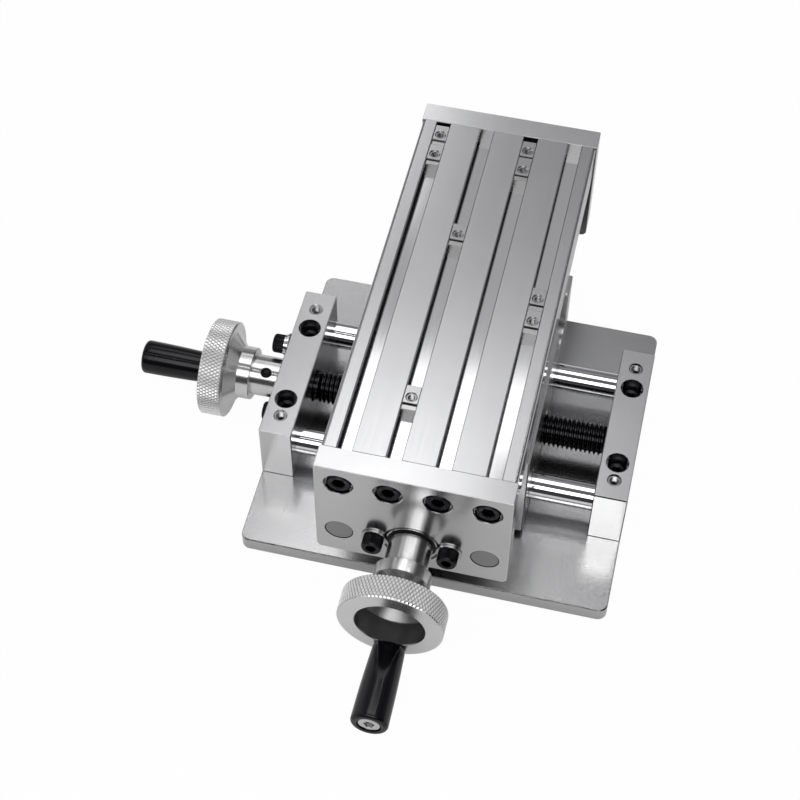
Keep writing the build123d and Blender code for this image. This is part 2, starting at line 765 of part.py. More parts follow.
def handwheel(flare_length, handle_angle, set_screw_angle):
    """Dished handwheel with its collar towards height 0, bored for the shaft, set screw and handle bolt."""
    rim_back = wheel_inner_height + flare_length
    rim_front = rim_back + rim_width
    collar_end = wheel_standoff + collar_length
    dish_back = rim_back + dish_step
    cone_end = wheel_standoff + dish_cone_height
    floor = wheel_standoff + dish_floor_height
    shaft_bore = journal_radius + seat_fit
    with BuildPart() as wheel:
        with BuildSketch(Plane.XZ):
            with BuildLine():
                Polyline(
                    (shaft_bore, -bearing_recess),
                    (wheel_boss_radius, -bearing_recess),
                    (wheel_boss_radius, wheel_standoff),
                    (collar_radius - rod_end_chamfer, wheel_standoff),
                    (collar_radius, wheel_standoff + rod_end_chamfer),
                    (collar_radius, collar_end),
                    (hub_radius - rod_end_chamfer, collar_end),
                    (hub_radius, collar_end + rod_end_chamfer),
                    (hub_radius, wheel_inner_height),
                    (flare_radius, rim_back),
                    (wheel_radius - rim_chamfer, rim_back),
                    (wheel_radius, rim_back + rim_chamfer),
                    (wheel_radius, rim_front - rim_chamfer),
                    (wheel_radius - rim_chamfer, rim_front),
                    (dish_radius + dish_mouth_chamfer, rim_front),
                    (dish_radius, rim_front - dish_mouth_chamfer),
                    (dish_radius, dish_back),
                    (dish_radius - dish_step, dish_back),
                    (dish_floor_radius, cone_end),
                    (dish_floor_radius, floor),
                    (shaft_bore, floor),
                    close=True,
                )
            make_face()
        revolve(axis=Axis.Z)
        turn = math.radians(set_screw_angle)
        radial = (math.cos(turn), math.sin(turn), 0)
        with BuildSketch(Plane(origin=(0, 0, wheel_standoff + set_screw_height), z_dir=radial)):
            Circle(m5_tapped_radius)
        extrude(amount=hub_radius, mode=Mode.SUBTRACT)
        with Locations((0, 0, rim_front)):
            with PolarLocations(handle_offset, 1, start_angle=handle_angle):
                Hole(m5_tapped_radius, depth=handle_bolt_thread_length + open_gap)
    return wheel


def handle_bolt():
    """Shoulder bolt that the handle turns on, its flange standing on the rim at height 0."""
    head_start = handle_start + handle_length - handle_recess_depth + open_gap
    head_end = head_start + handle_bolt_head_height
    with BuildPart() as bolt:
        with BuildSketch(Plane.XZ):
            with BuildLine():
                Polyline(
                    (0, -handle_bolt_thread_length),
                    (m5_radius, -handle_bolt_thread_length),
                    (m5_radius, 0),
                    (handle_bolt_flange_radius, 0),
                    (handle_bolt_flange_radius, handle_bolt_flange_height),
                    (handle_bolt_shoulder_radius, handle_bolt_flange_height),
                    (handle_bolt_shoulder_radius, head_start),
                    (handle_bolt_head_radius, head_start),
                    (handle_bolt_head_radius, head_end - rod_end_chamfer),
                    (handle_bolt_head_radius - rod_end_chamfer, head_end),
                    (0, head_end),
                    close=True,
                )
            make_face()
        revolve(axis=Axis.Z)
        with BuildSketch(Plane.XY.offset(head_end)):
            RegularPolygon(handle_bolt_key / 2, 6, major_radius=False)
        extrude(amount=-handle_bolt_key_depth, mode=Mode.SUBTRACT)
    return bolt


def handle():
    """Tapered handle that turns on its bolt, with a recess for the bolt's head."""
    tip = handle_start + handle_length
    recess_floor = tip - handle_recess_depth
    shoulder = tip - handle_end_fillet
    bore = handle_bolt_shoulder_radius + running_fit
    with BuildPart() as grip:
        with BuildSketch(Plane.XZ):
            with BuildLine():
                Polyline(
                    (handle_end_radius - handle_end_fillet, tip),
                    (handle_recess_radius, tip),
                    (handle_recess_radius, recess_floor),
                    (bore, recess_floor),
                    (bore, handle_start),
                    (handle_root_radius, handle_start),
                )
                ThreePointArc(
                    (handle_root_radius, handle_start),
                    (handle_belly_radius, (handle_start + shoulder) / 2),
                    (handle_end_radius, shoulder),
                )
                RadiusArc(
                    (handle_end_radius, shoulder),
                    (handle_end_radius - handle_end_fillet, tip),
                    -handle_end_fillet,
                )
            make_face()
        revolve(axis=Axis.Z)
    return grip


# Lead screw, handwheel and handle of each slide
x_far_shoulder = block_outer_x + block_inner_x - open_gap
y_far_shoulder = profile_rear - table_front - open_gap
drives = [
    ("x", x_face, x_flare_length, x_handle_angle, x_set_screw_angle, x_far_shoulder),
    ("y", y_face, y_flare_length, y_handle_angle, y_set_screw_angle, y_far_shoulder),
]
for axis, face, flare_length, handle_angle, set_screw_angle, far_shoulder in drives:
    write(copies(lead_screw(far_shoulder), [face]), f"{axis}_lead_screw")
    wheel = handwheel(flare_length, handle_angle, set_screw_angle)
    write(copies(wheel, [face]), f"{axis}_handwheel")
    turn = math.radians(set_screw_angle)
    radial = face.from_local_coords((math.cos(turn), math.sin(turn), 0)) - face.origin
    screw_start = face.from_local_coords(
        (
            journal_radius * math.cos(turn),
            journal_radius * math.sin(turn),
            wheel_standoff + set_screw_height,
        )
    )
    set_screw = m5_grub_screw(collar_radius - journal_radius - open_gap)
    write(copies(set_screw, [Plane(origin=screw_start, z_dir=radial)]), f"{axis}_wheel_set_screw")
    turn = math.radians(handle_angle)
    rim_front = wheel_inner_height + flare_length + rim_width
    handle_foot = face.from_local_coords(
        (handle_offset * math.cos(turn), handle_offset * math.sin(turn), rim_front)
    )
    handle_plane = Plane(origin=handle_foot, z_dir=face.z_dir)
    write(copies(handle_bolt(), [handle_plane]), f"{axis}_handle_bolt")
    write(copies(handle(), [handle_plane]), f"{axis}_handle")
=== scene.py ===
"""Looks of the cross slide table.

The CAD plates, blocks, rods, bushes, lead screw nuts and extrusion stay and get node-based metals. The other pieces
are built again with their fine detail: knurled handwheels, cut threads, screws, bearings, slot nuts and handles.
Sizes below are millimetres in the CAD frame; meshes are written in metres.
"""

import math

import bmesh
import bpy
from mathutils import Matrix, Vector


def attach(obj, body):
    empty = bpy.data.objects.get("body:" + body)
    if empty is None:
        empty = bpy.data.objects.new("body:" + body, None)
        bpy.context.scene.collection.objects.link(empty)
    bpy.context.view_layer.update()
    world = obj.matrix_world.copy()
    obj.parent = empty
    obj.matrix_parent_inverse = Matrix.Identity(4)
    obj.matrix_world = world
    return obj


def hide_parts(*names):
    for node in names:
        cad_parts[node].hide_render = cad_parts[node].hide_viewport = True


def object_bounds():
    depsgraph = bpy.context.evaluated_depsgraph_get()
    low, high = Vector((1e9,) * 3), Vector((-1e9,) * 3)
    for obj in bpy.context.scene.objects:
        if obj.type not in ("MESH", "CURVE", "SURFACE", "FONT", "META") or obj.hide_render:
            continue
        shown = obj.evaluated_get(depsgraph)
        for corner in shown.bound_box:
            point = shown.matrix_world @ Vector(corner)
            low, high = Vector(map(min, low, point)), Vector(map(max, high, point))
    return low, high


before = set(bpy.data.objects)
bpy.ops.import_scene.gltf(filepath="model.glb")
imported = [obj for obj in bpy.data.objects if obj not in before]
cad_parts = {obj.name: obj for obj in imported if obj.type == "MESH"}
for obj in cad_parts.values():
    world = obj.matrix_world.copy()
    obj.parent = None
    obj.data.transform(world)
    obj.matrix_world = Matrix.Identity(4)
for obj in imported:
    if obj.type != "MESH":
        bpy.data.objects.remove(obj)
cad_low, cad_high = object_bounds()

MM = 0.001
merge_distance = 0.002

# Sizes repeated from the CAD source
saddle_x = -2.4
block_top = 38.0
block_outer_x = 80.0
block_middle_x = 72.8
block_screw_front_y = -21.2
block_screw_rear_y = 19.2
block_counterbore_depth = 11.0
x_axis_height = 22.5
y_axis_height = 44.7
rod_half_pitch = 30.3
rod_radius = 6.0
table_front = -85.0
table_rear = 120.5
table_top = 88.0
profile_front = -74.5
profile_rear = 110.0
saddle_right = 38.1
saddle_front = -46.6
saddle_rear = 58.0
end_screw_recess = 5.4
end_screw_height = 35.25
end_screw_spacing_x = 32.0
end_screw_spacing_z = 35.0
nut_radius = 10.0
x_nut_lock_inset = 21.0
y_nut_lock_inset = 12.0
slot_offsets = (-30.0, -10.0, 10.0, 30.0)
slot_depth = 6.2
plate_screw_height = 77.6
plate_counterbore_depth = 6.5
bearing_recess = 0.2
bearing_width = 6.0
retainer_radius = 15.6
x_retainer_angle = -45.0
y_retainer_angle = 0.0
washer_thickness = 1.0
spring_washer_thickness = 1.2


# Placing

def place(origin, x_dir, z_dir):
    """Matrix in metres whose origin is in millimetres, z along z_dir and x along x_dir."""
    x = Vector(x_dir).normalized()
    z = Vector(z_dir).normalized()
    y = z.cross(x)
    matrix = Matrix((x, y, z)).transposed().to_4x4()
    matrix.translation = Vector(origin) * MM
    return matrix


x_face = place((-block_outer_x, 0, x_axis_height), (0, -1, 0), (-1, 0, 0))
y_face = place((saddle_x, table_front, y_axis_height), (1, 0, 0), (0, -1, 0))


def up_at(x, y, z):
    return place((x, y, z), (1, 0, 0), (0, 0, 1))


def shifted(matrix, x=0.0, y=0.0, z=0.0):
    """The same frame moved by millimetres along its own axes."""
    return matrix @ Matrix.Translation(Vector((x, y, z)) * MM)


# Mesh building

class Shape:
    """Points in millimetres and faces, with a material index for each face."""

    def __init__(self):
        self.points = []
        self.faces = []
        self.finish = []

    def add(self, points, faces, finish=0, matrix=None):
        start = len(self.points)
        for point in points:
            point = Vector(point)
            if matrix is not None:
                local = matrix.copy()
                local.translation = local.translation / MM
                point = local @ point
            self.points.append(point)
        for face in faces:
            self.faces.append([start + i for i in face])
            self.finish.append(finish)

    def rings(self, loops, closed=False, finish=0, matrix=None):
        """Quads between loops of equally many points, each loop closed in itself."""
        count = len(loops[0])
        points = [point for loop in loops for point in loop]
        faces = []
        pairs = len(loops) if closed else len(loops) - 1
        for a in range(pairs):
            b = (a + 1) % len(loops)
            for i in range(count):
                j = (i + 1) % count
                faces.append((a * count + i, b * count + i, b * count + j, a * count + j))
        self.add(points, faces, finish, matrix)

    def cap(self, loop, up=True, matrix=None):
        """One face over a loop."""
        order = list(range(len(loop)))
        if not up:
            order.reverse()
        self.add(loop, [order], 0, matrix)

    def capped_rings(self, loops, matrix=None):
        """Rings with a face over both ends."""
        self.rings(loops, matrix=matrix)
        self.cap(loops[0], False, matrix)
        self.cap(loops[-1], True, matrix)

    def turned(self, profile, segments=96, closed=False, finish=0, matrix=None, caps=(False, False)):
        """Surface of revolution about z through (radius, height) pairs."""
        loops = [loop_at(radius, height, segments) for radius, height in profile]
        self.rings(loops, closed, finish, matrix)
        if caps[0]:
            self.cap(loops[0], False, matrix)
        if caps[1]:
            self.cap(loops[-1], True, matrix)

    def mesh(self, name):
        made = bpy.data.meshes.new(name)
        made.from_pydata([point * MM for point in self.points], [], self.faces)
        return made


def loop_at(radius, height, segments):
    """Ring of points; radius is a number or a function of the angle."""
    loop = []
    for i in range(segments):
        angle = 2 * math.pi * i / segments
        r = radius(angle) if callable(radius) else radius
        loop.append((r * math.cos(angle), r * math.sin(angle), height))
    return loop


def hexagon(across_flats):
    """Radius of a hexagon as a function of the angle."""
    def radius(angle):
        return across_flats / 2 / math.cos((angle % (math.pi / 3)) - math.pi / 6)
    return radius


def straight_knurl(radius, depth, teeth):
    """Radius of a finely grooved cylinder."""
    def at(angle):
        return radius - depth * (0.5 - 0.5 * math.cos(angle * teeth))
    return at


def new_object(name, data):
    """Object in the scene."""
    made = bpy.data.objects.new(name, data)
    bpy.context.scene.collection.objects.link(made)
    return made


def piece(name, shape, materials, body, matrix=None, nodes=(), sharp=28.0):
    """Object made from a shape, shaded smooth between sharp edges, riding on a body."""
    mesh = shape.mesh(name)
    for material in materials:
        mesh.materials.append(material)
    for polygon, index in zip(mesh.polygons, shape.finish):
        polygon.material_index = index
        polygon.use_smooth = True
    mesh.validate()
    mesh.update()
    work = bmesh.new()
    work.from_mesh(mesh)
    bmesh.ops.remove_doubles(work, verts=work.verts, dist=merge_distance * MM)
    bmesh.ops.recalc_face_normals(work, faces=work.faces)
    work.to_mesh(mesh)
    work.free()
    mesh.set_sharp_from_angle(angle=math.radians(sharp))
    made = new_object(name, mesh)
    if matrix is not None:
        made.matrix_world = matrix
    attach(made, body)
    if nodes:
        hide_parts(*nodes)
    return made


def cut(target, cutter_shape, matrix=None):
    """Subtract a shape from a piece for good."""
    mesh = cutter_shape.mesh("cutter")
    cutter = new_object("cutter", mesh)
    if matrix is not None:
        cutter.matrix_world = matrix
    bpy.context.view_layer.update()
    modifier = target.modifiers.new("cut", "BOOLEAN")
    modifier.operation = "DIFFERENCE"
    modifier.solver = "EXACT"
    modifier.object = cutter
    bpy.context.view_layer.update()
    evaluated = target.evaluated_get(bpy.context.evaluated_depsgraph_get())
    result = bpy.data.meshes.new_from_object(evaluated)
    old = target.data
    target.modifiers.clear()
    target.data = result
    bpy.data.meshes.remove(old)
    result.name = target.name
    bpy.data.objects.remove(cutter)
    bpy.data.meshes.remove(mesh)


# Materials

class Nodes:
    """Short way to build a node tree. A source is a pair of a node and the name of its output."""

    def __init__(self, tree):
        self.tree = tree

    def node(self, kind, **settings):
        made = self.tree.nodes.new(kind)
        for key, value in settings.items():
            if key.startswith("in_"):
                name = key[3:].replace("_", " ")
                made.inputs[int(name) if name.isdigit() else name].default_value = value
            else:
                setattr(made, key, value)
        return made

    def link(self, source, target, socket):
        node, output = source
        self.tree.links.new(node.outputs[output], target.inputs[socket])

    def feeding(self, target, socket):
        """The source that feeds an input now."""
        link = target.inputs[socket].links[0]
        return link.from_node, link.from_socket.name

    def math(self, operation, *values):
        """Math on sources and numbers."""
        made = self.node("ShaderNodeMath", operation=operation)
        for socket, value in enumerate(values):
            if isinstance(value, tuple):
                self.link(value, made, socket)
            else:
                made.inputs[socket].default_value = value
        return made, "Value"

    def parts(self, output):
        """The x, y and z of a texture coordinate."""
        where = self.node("ShaderNodeTexCoord")
        split = self.node("ShaderNodeSeparateXYZ")
        self.link((where, output), split, "Vector")
        return (split, "X"), (split, "Y"), (split, "Z")

    def joined(self, x, y):
        """Vector of two sources, with z zero."""
        made = self.node("ShaderNodeCombineXYZ")
        self.link(x, made, "X")
        self.link(y, made, "Y")
        return made, "Vector"

    def axis_distance(self):
        """Distance from the piece's own z axis."""
        x, y, _ = self.parts("Object")
        made = self.node("ShaderNodeVectorMath", operation="LENGTH")
        self.link(self.joined(x, y), made, 0)
        return made, "Value"

    def ramp(self, source, stops):
        made = self.node("ShaderNodeValToRGB")
        elements = made.color_ramp.elements
        while len(elements) < len(stops):
            elements.new(0.5)
        for element, (position, colour) in zip(elements, stops):
            element.position = position
            element.color = (*colour, 1.0)
        self.link(source, made, "Fac")
        return made, "Color"

    def remap(self, source, old, new=(0.0, 1.0), **settings):
        """Map a range of values to another one."""
        made = self.node("ShaderNodeMapRange", **settings)
        for name, value in zip(("From Min", "From Max", "To Min", "To Max"), (*old, *new)):
            made.inputs[name].default_value = value
        self.link(source, made, "Value")
        return made, "Result"

    def mix(self, share, first, second, **settings):
        """Colour that goes from the first source to the second one or to a plain colour."""
        made = self.node("ShaderNodeMixRGB", **settings)
        if share is not None:
            self.link(share, made, "Fac")
        self.link(first, made, "Color1")
        if len(second) == 3:
            made.inputs["Color2"].default_value = (*second, 1.0)
        else:
            self.link(second, made, "Color2")
        return made, "Color"

    def cover(self, shader, share, colour):
        """Put a colour over the shader's base colour where the share is 1."""
        self.link(self.mix(share, self.feeding(shader, "Base Color"), colour), shader, "Base Color")

    def noise(self, scale, detail, stretch=None, **settings):
        """Noise over the object's coordinates, stretched along an axis where asked."""
        where = self.node("ShaderNodeTexCoord"), "Object"
        if stretch:
            mapping = self.node("ShaderNodeMapping", in_Scale=stretch)
            self.link(where, mapping, "Vector")
            where = mapping, "Vector"
        made = self.node("ShaderNodeTexNoise", in_Scale=scale, in_Detail=detail, **settings)
        self.link(where, made, "Vector")
        return made, "Fac"

    def relief(self, shader, source, strength, distance):
        bump = self.node("ShaderNodeBump", in_Strength=strength, in_Distance=distance)
        self.link(source, bump, "Height")
        self.link((bump, "Normal"), shader, "Normal")


def new_material(name):
    """Material with its node helper and its shader."""
    material = bpy.data.materials.new(name)
    material.use_nodes = True
    return material, *opened(material)


def opened(material):
    """The node helper and the shader of a material."""
    return Nodes(material.node_tree), material.node_tree.nodes["Principled BSDF"]


def grey(value, blue=0.0):
    return (value, value, value + blue)


# Most of a noise lies between these values
noise_range = (0.3, 0.7)


def tinted(n, shader, source, colour, mottle):
    """Base colour that drifts a little with a noise."""
    low = tuple(c * (1 - mottle) for c in colour)
    high = tuple(min(1.0, c * (1 + mottle)) for c in colour)
    tint = n.ramp(source, [(noise_range[0], low), (noise_range[1], high)])
    n.link(tint, shader, "Base Color")


def roughened(n, shader, source, rough, spread):
    """Roughness that varies by a share of itself with a noise."""
    n.link(n.remap(source, noise_range, (rough * (1 - spread), rough * (1 + spread))), shader, "Roughness")


def metal(
    name, colour, rough, grain=(1.0, 1.0, 1.0), scale=2500.0, bump=0.01, mottle=0.03, spread=0.12, patch=45.0
):
    """Metal with soft mottling, and grain or streaks stretched along an axis in its roughness and relief."""
    material, n, shader = new_material(name)
    tinted(n, shader, n.noise(patch, 3.0, in_Roughness=0.55), colour, mottle)
    fine = n.noise(scale, 2.0, grain, in_Roughness=0.6)
    roughened(n, shader, fine, rough, spread)
    n.relief(shader, fine, bump, 0.0002)
    shader.inputs["Metallic"].default_value = 1.0
    return material


def extrusion(name, colour, rough):
    """Satin extrusion: in the upper slots the lip walls get a painted shade, and the metal below the lips is painted
    lighter, painted light, and made smoother.
    """
    slots_half_width = 39.0
    lip_shade_end = table_top - 1.0
    smooth_start, smooth_end = table_top - 0.6, table_top - 1.4
    smoother_by = 0.13
    material = metal(
        name, colour, rough, grain=(1.0, 0.02, 1.0), scale=1800.0, bump=0.001, mottle=0.02, spread=0.06
    )
    n, shader = opened(material)
    x, _, z = n.parts("Object")
    facing_x, _, _ = n.parts("Normal")
    distance = n.math("ABSOLUTE", n.math("ADD", x, -saddle_x * MM))
    inner = n.math("LESS_THAN", distance, slots_half_width * MM)
    painted_light_within = n.math("MULTIPLY", inner, n.math("LESS_THAN", z, lip_shade_end * MM))
    # Painted light: the slot walls and floors below the lips are lighter than the extrusion.
    n.cover(shader, painted_light_within, (0.82, 0.82, 0.83))
    upright = n.math("GREATER_THAN", n.math("ABSOLUTE", facing_x), 0.8)
    right_chamfer = n.math("LESS_THAN", facing_x, -0.5)
    mouth = n.math("MULTIPLY", inner, n.math("GREATER_THAN", z, lip_shade_end * MM))
    # Painted shade: the upright lip walls and the right chamfers in the slot mouths are near black.
    n.cover(shader, n.math("MULTIPLY", mouth, n.math("MAXIMUM", upright, right_chamfer)), grey(0.03))
    smoother = n.remap(z, (smooth_end * MM, smooth_start * MM), (-smoother_by, 0.0))
    n.link(n.math("ADD", n.feeding(shader, "Roughness"), smoother), shader, "Roughness")
    return material


def painted_side_metal(name, colour, rough, side, shade, inner_face=None, edge=None):
    """Satin metal whose faces towards -y or +y get painted light and shade, a grey of their own: all of them, or
    those at one y.

    The chamfers along such faces can get a painted shade of their own.
    """
    material = metal(name, colour, rough, scale=2200.0, bump=0.003)
    n, shader = opened(material)
    towards = n.math("MULTIPLY", n.parts("Normal")[1], side)
    share = n.math("GREATER_THAN", towards, 0.6)
    if inner_face is not None:
        near = n.math("COMPARE", n.parts("Object")[1], inner_face * MM, 0.3 * MM)
        share = n.math("MULTIPLY", near, share)
    # Painted light and shade: the chosen faces get a flat grey that stands in for how they are lit.
    n.cover(shader, share, grey(shade))
    if edge is not None:
        # Painted shade on the chamfers along those faces.
        n.cover(shader, n.math("COMPARE", towards, 0.707, 0.1), grey(edge))
    return material


def lathe_metal(name, colour, rough, bump=0.03, anisotropic=0.5):
    """Turned metal: rings about the piece's own z axis and highlights drawn across them."""
    material, n, shader = new_material(name)
    fine = n.node("ShaderNodeTexNoise", noise_dimensions="2D", in_Scale=4000.0, in_Detail=3.0, in_Roughness=0.65)
    n.link(n.joined(n.axis_distance(), n.parts("Object")[2]), fine, "Vector")
    tinted(n, shader, n.noise(60.0, 2.0), colour, 0.03)
    roughened(n, shader, (fine, "Fac"), rough, 0.05)
    n.relief(shader, (fine, "Fac"), bump, 0.0001)
    shader.inputs["Metallic"].default_value = 1.0
    shader.inputs["Anisotropic"].default_value = anisotropic
    shader.inputs["Anisotropic Rotation"].default_value = 0.25
    tangent = n.node("ShaderNodeTangent", direction_type="RADIAL", axis="Z")
    n.link((tangent, "Tangent"), shader, "Tangent")
    return material


def knurled_metal(name, colour, rough, painted_groove_shade, bottom, top):
    """Metal about the piece's z axis with a painted shade at the bottom radius of its knurling, fading out towards
    its tips.
    """
    material = metal(name, colour, rough, scale=3000.0, bump=0.02)
    n, shader = opened(material)
    n.cover(shader, n.remap(n.axis_distance(), (bottom * MM, top * MM), (1.0, 0.0)), grey(painted_groove_shade))
    shader.inputs["Metallic"].default_value = 0.35
    return material


def ground_rod(name, axis):
    """Chromed ground rod: bright round side, a painted shade on the chamfer, and sawn grey end faces, told apart by
    the normal.
    """
    material, n, shader = new_material(name)
    along = n.math("ABSOLUTE", n.parts("Normal")["XYZ".index(axis)])
    # The chamfer stop at 0.06 is painted shade, a dark outline round the rod's end.
    stops = [(0.3, grey(0.78, 0.02)), (0.4, grey(0.06)), (0.85, grey(0.06)), (0.95, grey(0.30))]
    n.link(n.ramp(along, stops), shader, "Base Color")
    polish = n.remap(n.noise(1200.0, 2.0, in_Roughness=0.6), noise_range, (0.05, 0.08))
    end = n.remap(along, (0.3, 0.95), (0.0, 0.4))
    n.link(n.math("ADD", polish, end), shader, "Roughness")
    shader.inputs["Metallic"].default_value = 1.0
    return material


def plastic(name, colour, rough, specular):
    """Moulded plastic or rubber with a faint swell in its gloss."""
    material, n, shader = new_material(name)
    fine = n.noise(900.0, 3.0, in_Roughness=0.6)
    tinted(n, shader, fine, colour, 0.15)
    roughened(n, shader, fine, rough, 0.15)
    n.relief(shader, n.noise(160.0, 1.0), 0.04, 0.0004)
    shader.inputs["Specular IOR Level"].default_value = specular
    return material


satin = metal("satin_aluminium_look", grey(0.60, 0.005), 0.24, scale=2200.0, bump=0.004)
plate_satin = metal("plate_aluminium_look", grey(0.56, 0.005), 0.19, scale=2200.0, bump=0.003)
# Rear plate: painted light, lighter than the front plate's aluminium, and a painted shade on its face towards -y at
# the extrusion's rear end.
rear_plate_painted_light_and_shade = painted_side_metal("rear_plate_look", grey(0.80, 0.008), 0.20, -1.0, 0.16, profile_rear)
# Right end block: painted light on its faces towards -y, and painted shade, near black, on the chamfers along them.
right_block_painted_light_and_shade = painted_side_metal("right_block_look", grey(0.61, 0.005), 0.24, -1.0, 0.82, edge=0.01)
# Slot nuts: painted shade on their faces towards -y.
slot_nut_painted_shade = painted_side_metal("slot_nut_look", grey(0.56, 0.004), 0.22, -1.0, 0.14)
base_satin = metal(
    "base_plate_look", grey(0.49, 0.003), 0.21, scale=1300.0, bump=0.22, mottle=0.07, spread=0.3, patch=1900.0
)
extruded = extrusion("extruded_aluminium_look", grey(0.60, 0.008), 0.23)
turned_metal = lathe_metal("turned_aluminium_look", grey(0.72), 0.24, bump=0.001, anisotropic=0.7)
# Dish of the handwheels: painted shade, a darker copy of the turned aluminium.
dish_painted_shade = lathe_metal("wheel_dish_look", grey(0.34), 0.34, bump=0.01, anisotropic=0.3)
x_rod_chrome = ground_rod("x_rod_chrome_look", "X")
y_rod_chrome = ground_rod("y_rod_chrome_look", "Y")
steel = lathe_metal("bright_steel_look", grey(0.62), 0.16, bump=0.02, anisotropic=0.3)
# Outer bearing rings: painted shade, a dark copy of the bearing steel.
bearing_ring_painted_shade = lathe_metal("bearing_steel_look", grey(0.10), 0.14, bump=0.02, anisotropic=0.3)
nickel = metal("nickel_look", (0.60, 0.60, 0.61), 0.16, scale=1800.0, bump=0.02)
# Thread linings of the tapped holes and the y washers: painted shade, darker than the metal round them.
painted_shade_for_holes_and_washers = metal("tapped_bore_look", grey(0.45), 0.25, scale=1800.0, bump=0.02)
bronze = lathe_metal("bronze_look", (0.58, 0.40, 0.19), 0.25)
black_steel = metal("black_oxide_look", (0.022, 0.022, 0.026), 0.28, scale=2200.0, bump=0.04, mottle=0.2)
black_thread = metal("black_thread_look", (0.022, 0.022, 0.025), 0.20, scale=2000.0, bump=0.02, mottle=0.2)
gloss_black = plastic("gloss_black_plastic_look", (0.004, 0.004, 0.006), 0.15, 0.30)
rubber = plastic("seal_rubber_look", (0.010, 0.010, 0.010), 0.5, 0.3)

looks = {
    "base_plate": base_satin,
    "left_end_block": satin,
    "right_end_block": right_block_painted_light_and_shade,
    "saddle_block": satin,
    "saddle_end_plate": satin,
    "table_profile": extruded,
    "front_plate": plate_satin,
    "rear_plate": rear_plate_painted_light_and_shade,
    "x_rod_front": x_rod_chrome,
    "x_rod_rear": x_rod_chrome,
    "y_rod_left": y_rod_chrome,
    "y_rod_right": y_rod_chrome,
    "x_bushes": bronze,
    "y_front_bushes": bronze,
    "y_rear_bushes": bronze,
    "x_end_bush": bronze,
    "y_end_bush": bronze,
    "x_nut": bronze,
    "y_nut": bronze,
}
for name, look in looks.items():
    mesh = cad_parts[name].data
    mesh.materials.clear()
    mesh.materials.append(look)


# Handwheels

wheel_radius = 21.8
rim_width = 10.6
wheel_bore = 5.02
wheel_boss_radius = 7.5
collar_radius = 9.2
collar_end = 13.7
hub_radius = 11.8
hub_end = 19.7
x_flare_length = 4.2
y_flare_length = 8.5
flare_radius = 17.5
dish_radius = 14.2
dish_floor = 0.4
dish_floor_radius = 8.5
cone_end = 19.1
bore_end = 17.0
wheel_standoff = 0.5
knurl_teeth = 84
knurl_depth = 0.5
knurl_crest_drop = 0.03
knurl_rows = 7
rim_chamfer = 0.6
rim_edge = 1.0
rim_bevel = 0.15
set_screw_height = 7.0
x_set_screw_angle = 63.0
y_set_screw_angle = -150.0
groove_shade_end = wheel_radius - 0.33
# Knurled rims: the tips painted near white, painted light, and the grooves darkened towards their bottom, painted
# shade.
knurl_with_painted_light_and_shade = knurled_metal(
    "knurled_aluminium_look", grey(0.99), 0.26, 0.25, wheel_radius - knurl_depth, groove_shade_end
)


def knurling(shape, rim_back, segments):
    """Diamond knurling of a rim, with a plain chamfer on both sides."""
    chamfer_radius = wheel_radius - rim_chamfer
    start = rim_back + rim_chamfer
    step = (rim_width - 2 * rim_chamfer) / knurl_rows
    loops = []
    for row in range(knurl_rows + 1):
        def radius(angle, row=row):
            tooth = round(angle / (2 * math.pi) * segments)
            return wheel_radius - (knurl_depth if (tooth + row) % 2 else knurl_crest_drop)
        loops.append(loop_at(radius, start + row * step, segments))
    faces = []
    for a in range(knurl_rows):
        for i in range(segments):
            j = (i + 1) % segments
            p, q, r, s = a * segments + i, (a + 1) * segments + i, (a + 1) * segments + j, a * segments + j
            valley = (i + a) % 2 == 1
            faces += [(p, q, r), (p, r, s)] if valley else [(p, q, s), (q, r, s)]
    shape.add([point for loop in loops for point in loop], faces, 1)
    shape.rings([loop_at(chamfer_radius, rim_back + rim_bevel, segments), loops[0]])
    shape.rings([loops[-1], loop_at(chamfer_radius, rim_back + rim_width - rim_bevel, segments)])


def handwheel(name, body, face, flare_length, set_screw_angle, node):
    """Turned wheel with a diamond-knurled rim, a dish in front and a collar behind."""
    rim_back = hub_end + flare_length
    rim_front = rim_back + rim_width
    segments = 2 * knurl_teeth
    dish_back = rim_back + dish_floor
    back = [
        (wheel_bore, -bearing_recess),
        (wheel_boss_radius, -bearing_recess),
        (wheel_boss_radius, wheel_standoff),
        (collar_radius - 0.4, wheel_standoff),
        (collar_radius, wheel_standoff + 0.4),
        (collar_radius, collar_end),
        (hub_radius - 0.35, collar_end),
        (hub_radius, collar_end + 0.35),
        (hub_radius, hub_end - 0.15),
        (hub_radius + 0.15, hub_end),
        (flare_radius, rim_back),
        (wheel_radius - rim_edge, rim_back),
        (wheel_radius - rim_chamfer, rim_back + rim_bevel),
    ]
    front = [
        (wheel_radius - rim_chamfer, rim_front - rim_bevel),
        (wheel_radius - rim_edge, rim_front),
        (dish_radius + 0.35, rim_front),
        (dish_radius, rim_front - 0.35),
    ]
    dish = [
        (dish_radius, rim_front - 0.35),
        (dish_radius, dish_back + 0.1),
        (dish_radius - 0.1, dish_back),
        (dish_radius - 0.4, dish_back),
        (dish_floor_radius, cone_end),
        (dish_floor_radius, bore_end),
        (wheel_bore, bore_end),
    ]
    shape = Shape()
    shape.turned(back, segments)
    knurling(shape, rim_back, segments)
    shape.turned(front, segments)
    shape.turned(dish, segments, finish=2)
    metals = [turned_metal, knurl_with_painted_light_and_shade, dish_painted_shade]
    wheel = piece(name, shape, metals, body, face, (node,), sharp=20.0)
    cut_set_screw_hole(wheel, face, set_screw_angle)


def collar_frame(face, angle_degrees, radius):
    """Frame at a radius in the collar whose z points out of it at an angle."""
    angle = math.radians(angle_degrees)
    outward = Vector((math.cos(angle), math.sin(angle), 0))
    return face @ place((outward.x * radius, outward.y * radius, set_screw_height), (0, 0, 1), outward)


